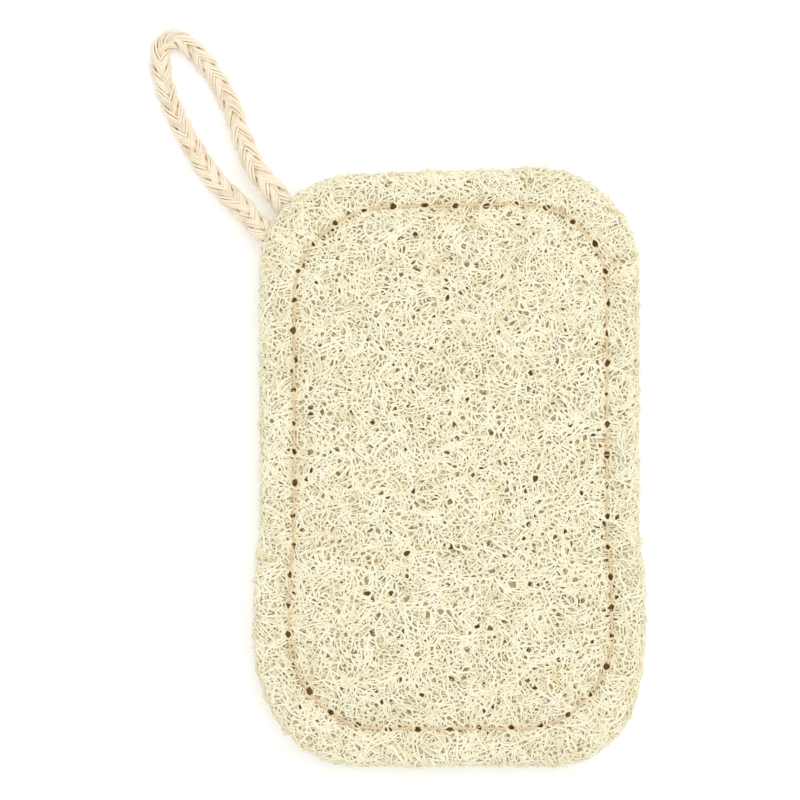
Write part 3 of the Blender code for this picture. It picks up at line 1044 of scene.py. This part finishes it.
def new_material(name, roughness, specular):
    mat = bpy.data.materials.new(name)
    mat.use_nodes = True
    shader = mat.node_tree.nodes["Principled BSDF"]
    shader.inputs["Roughness"].default_value = roughness
    shader.inputs["Specular IOR Level"].default_value = specular
    return mat.node_tree.nodes, mat.node_tree.links, shader, mat


def noise_node(nodes, links, scale, detail):
    """Noise laid out by the piece's own coordinates, in metres."""
    place = nodes.new("ShaderNodeTexCoord")
    noise = nodes.new("ShaderNodeTexNoise")
    noise.inputs["Scale"].default_value = scale
    noise.inputs["Detail"].default_value = detail
    links.new(place.outputs["Object"], noise.inputs["Vector"])
    return noise.outputs["Fac"]


def math_node(nodes, links, operation, *values):
    """A sum on sockets and numbers."""
    node = nodes.new("ShaderNodeMath")
    node.operation = operation
    for socket, value in zip(node.inputs, values):
        if isinstance(value, float):
            socket.default_value = value
        else:
            links.new(value, socket)
    return node.outputs[0]


def ramp_node(nodes, links, factor, stops):
    """A colour ramp through the stops, each: position and colour."""
    ramp = nodes.new("ShaderNodeValToRGB")
    elements = ramp.color_ramp.elements
    for element, (position, colour) in zip(elements, (stops[0], stops[-1])):
        element.position, element.color = position, (*colour, 1)
    for position, colour in stops[1:-1]:
        elements.new(position).color = (*colour, 1)
    links.new(factor, ramp.inputs["Fac"])
    return ramp.outputs["Color"]


def bump_node(nodes, links, height, strength, distance):
    bump = nodes.new("ShaderNodeBump")
    bump.inputs["Strength"].default_value = strength
    bump.inputs["Distance"].default_value = distance
    links.new(height, bump.inputs["Height"])
    return bump.outputs["Normal"]


# A strand's tone is its own tint, and then what flecks and patches add to that. It runs
# through the material's three colours, which have these places on the scale of tones.
TONES = (0.2, 0.6, 1.0)
TONE_SPAN = 2.0
FLECK_SHARE, FLECK_DETAIL = 0.4, 3.0
PATCH_SCALE, PATCH_DETAIL = 170.0, 4.0
STRAND_BUMP, STRAND_SHINE = 0.3, 0.3

FELT_DETAIL = 4.0
FELT_BUMP, FELT_BUMP_HEIGHT = 0.6, 0.0003
FELT_ROUGHNESS, FELT_SHINE = 0.9, 0.1


def strand_material(name, colours, grain, bump_height=0.00008, roughness=0.6, patchiness=0.0):
    """Dry fibre: each strand has its own tone, with fine flecks along it."""
    nodes, links, shader, mat = new_material(name, roughness, STRAND_SHINE)
    tint = nodes.new("ShaderNodeAttribute")
    tint.attribute_name = "strand_tint"
    flecks = noise_node(nodes, links, grain, FLECK_DETAIL)
    patches = noise_node(nodes, links, PATCH_SCALE, PATCH_DETAIL)
    tone = math_node(nodes, links, "MULTIPLY_ADD", patches, patchiness, tint.outputs["Fac"])
    tone = math_node(nodes, links, "MULTIPLY_ADD", flecks, FLECK_SHARE, tone)
    tone = math_node(nodes, links, "DIVIDE", tone, TONE_SPAN)
    stops = [((at + patchiness / 2) / TONE_SPAN, colour) for at, colour in zip(TONES, colours)]
    links.new(ramp_node(nodes, links, tone, stops), shader.inputs["Base Color"])
    bump = bump_node(nodes, links, flecks, STRAND_BUMP, bump_height)
    links.new(bump, shader.inputs["Normal"])
    return mat


def mottled_material(name, light, dark, grain, edges=(0.35, 0.65)):
    """Mottled from dark to light: matted fibre, and the painted shade in pores and needle
    holes. edges are where the noise turns.
    """
    nodes, links, shader, mat = new_material(name, FELT_ROUGHNESS, FELT_SHINE)
    noise = noise_node(nodes, links, grain, FELT_DETAIL)
    stops = [(edges[0], dark), (edges[1], light)]
    links.new(ramp_node(nodes, links, noise, stops), shader.inputs["Base Color"])
    bump = bump_node(nodes, links, noise, FELT_BUMP, FELT_BUMP_HEIGHT)
    links.new(bump, shader.inputs["Normal"])
    return mat


# ---- camera, light and floor


# Camera, straight above: the picture is 168 mm wide at the height of the pad's rim.
VIEW_WIDTH = 168.0
VIEW_CENTRE = (-10.4, 14.1)
VIEW_HEIGHT = 8.0
LENS = 300.0
SENSOR = 36.0
FARTHEST = 100.0

# One large soft key light, in metres from the pad, in a pale room.
KEY_PLACE = (0.2, 0.25, 1.0)
KEY_SIZE = 0.7
KEY_POWER = 3.3
KEY_COLOUR = (1.0, 0.985, 0.96)
ROOM_BRIGHTNESS = 0.835

FLOOR_REACH = 1500.0
FLOOR_WHITE = (0.95, 0.95, 0.95, 1)
FLOOR_GLOW = 0.2
FLOOR_ROUGHNESS, FLOOR_SHINE = 0.9, 0.1


def add_camera():
    data = bpy.data.cameras.new("camera")
    data.lens = LENS
    data.sensor_width = SENSOR
    data.clip_end = FARTHEST
    camera = bpy.data.objects.new("camera", data)
    away = VIEW_WIDTH / SENSOR * LENS
    camera.location = Vector((*VIEW_CENTRE, VIEW_HEIGHT + away)) * MM
    bpy.context.scene.collection.objects.link(camera)
    bpy.context.scene.camera = camera


def add_floor():
    ends = (-FLOOR_REACH, FLOOR_REACH)
    corners = np.array([(x, y, 0) for y in ends for x in ends])
    floor = mesh_object("floor", corners, [np.array([[0, 1, 3, 2]])], smooth=False)
    _, _, shader, mat = new_material("floor_white", FLOOR_ROUGHNESS, FLOOR_SHINE)
    shader.inputs["Base Color"].default_value = FLOOR_WHITE
    shader.inputs["Emission Color"].default_value = (1, 1, 1, 1)
    shader.inputs["Emission Strength"].default_value = FLOOR_GLOW
    floor.data.materials.append(mat)


def add_light():
    world = bpy.data.worlds.new("studio")
    world.use_nodes = True
    background = world.node_tree.nodes["Background"]
    background.inputs["Color"].default_value = (1.0, 1.0, 1.0, 1)
    background.inputs["Strength"].default_value = ROOM_BRIGHTNESS
    bpy.context.scene.world = world
    data = bpy.data.lights.new("key", "AREA")
    data.shape = "DISK"
    data.size = KEY_SIZE
    data.energy = KEY_POWER
    data.color = KEY_COLOUR
    light = bpy.data.objects.new("key", data)
    light.location = KEY_PLACE
    light.rotation_euler = (-Vector(KEY_PLACE)).to_track_quat("-Z", "Y").to_euler()
    bpy.context.scene.collection.objects.link(light)
    bpy.context.scene.view_settings.view_transform = "Standard"


# ---- the object


CREAM = strand_material(
    "loofah_cream",
    ((0.965, 0.935, 0.755), (0.945, 0.895, 0.68), (0.87, 0.77, 0.52)),
    grain=1100.0,
    patchiness=1.0,
)
# A darker copy of the cream for the strands that lie deeper: painted shade.
CREAM_SHADED = strand_material(
    "loofah_cream_shaded",
    ((0.96, 0.92, 0.72), (0.94, 0.88, 0.63), (0.87, 0.77, 0.50)),
    grain=1100.0,
    patchiness=0.8,
)
# The felt under the strands: partly the deeper fibre's own tan, partly painted shade where it
# shows in the gaps.
FELT = mottled_material(
    "loofah_felt_and_painted_shade",
    light=(0.86, 0.79, 0.56),
    dark=(0.51, 0.415, 0.23),
    grain=420.0,
    edges=(0.40, 0.57),
)
# Painted shade: the dark brown lining of each needle hole stands in for the shade down in it.
HOLE = mottled_material(
    "needle_hole_painted_shade",
    light=(0.20, 0.105, 0.045),
    dark=(0.08, 0.04, 0.015),
    grain=1200.0,
)
# Partly the deeper fibre's own olive brown, partly painted shade: the dark lining of each pore.
PORE = mottled_material(
    "pore_fibre_brown_and_painted_shade",
    light=(0.48, 0.385, 0.215),
    dark=(0.11, 0.078, 0.034),
    grain=260.0,
    edges=(0.42, 0.56),
)
THREAD = strand_material(
    "thread_peach",
    ((0.98, 0.87, 0.67), (0.97, 0.82, 0.58), (0.92, 0.73, 0.46)),
    grain=1500.0,
    bump_height=0.00005,
    roughness=0.5,
)
# The third, darkest colour is painted shade: the heart takes it, and yarns that sink under lean
# towards it.
COTTON = strand_material(
    "cotton_cream",
    ((0.985, 0.90, 0.74), (0.955, 0.84, 0.66), (0.62, 0.49, 0.33)),
    grain=1400.0,
    roughness=0.7,
)


def dress(obj, mat, slot, *nodes, body="pad"):
    """Gives a piece its material and its body, and hides the CAD nodes that it stands for.
    slot is not used.
    """
    obj.data.materials.append(mat)
    if body:
        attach(obj, body)
    if nodes:
        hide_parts(*nodes)


def add_cord():
    cord, route = braided_cord()
    nodes = ("hanging_loop", "cord_tail_right", "cord_tail_left")
    dress(cord, COTTON, "cotton_cord", *nodes, body=None)
    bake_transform(cord)


def add_outer_sheet(name, side, seed, thread_node):
    """One outer sheet, front or back, with the thread that lies on it."""
    slot, node = "loofah_sheet", f"{name}_loofah_sheet"
    base = felt(f"{name}_felt", side, seed + 20)
    dress(base, FELT, slot, node)
    pores = Pores(np.random.default_rng(seed + 40), True)
    needle_holes = Pores(np.random.default_rng(seed + 40), False)
    # Painted shade in the needle holes.
    cups = shade_cups(f"{name}_needle_holes", side, pores.all[:STITCHES])
    dress(cups, HOLE, slot, node)
    # The deeper fibre's tone and painted shade in the pores.
    cups = shade_cups(f"{name}_pores", side, pores.all[STITCHES:])
    dress(cups, PORE, slot, node)
    for piece in sheet_fibres(name, side, seed, pores, needle_holes):
        # The lower nets take the darker copy of the cream, as painted shade.
        dress(piece, CREAM_SHADED if "lower" in piece.name else CREAM, slot, node)
    dress(thread(f"{thread_node}_plies", side), THREAD, "sewing_thread", thread_node)


def add_inner_layer(seed):
    slot, node = "loofah_core", "inner_loofah_layer"
    base = inner_felt()
    dress(base, FELT, slot, node)
    for piece in inner_fibres(seed):
        # The strands between the sheets take the darker copy of the cream: painted shade.
        dress(piece, CREAM_SHADED, slot, node)


add_camera()
add_floor()
add_light()
add_cord()
add_outer_sheet("front", 1, SEED, "needle_thread")
add_outer_sheet("back", -1, SEED + 1, "bobbin_thread")
add_inner_layer(SEED + 9)
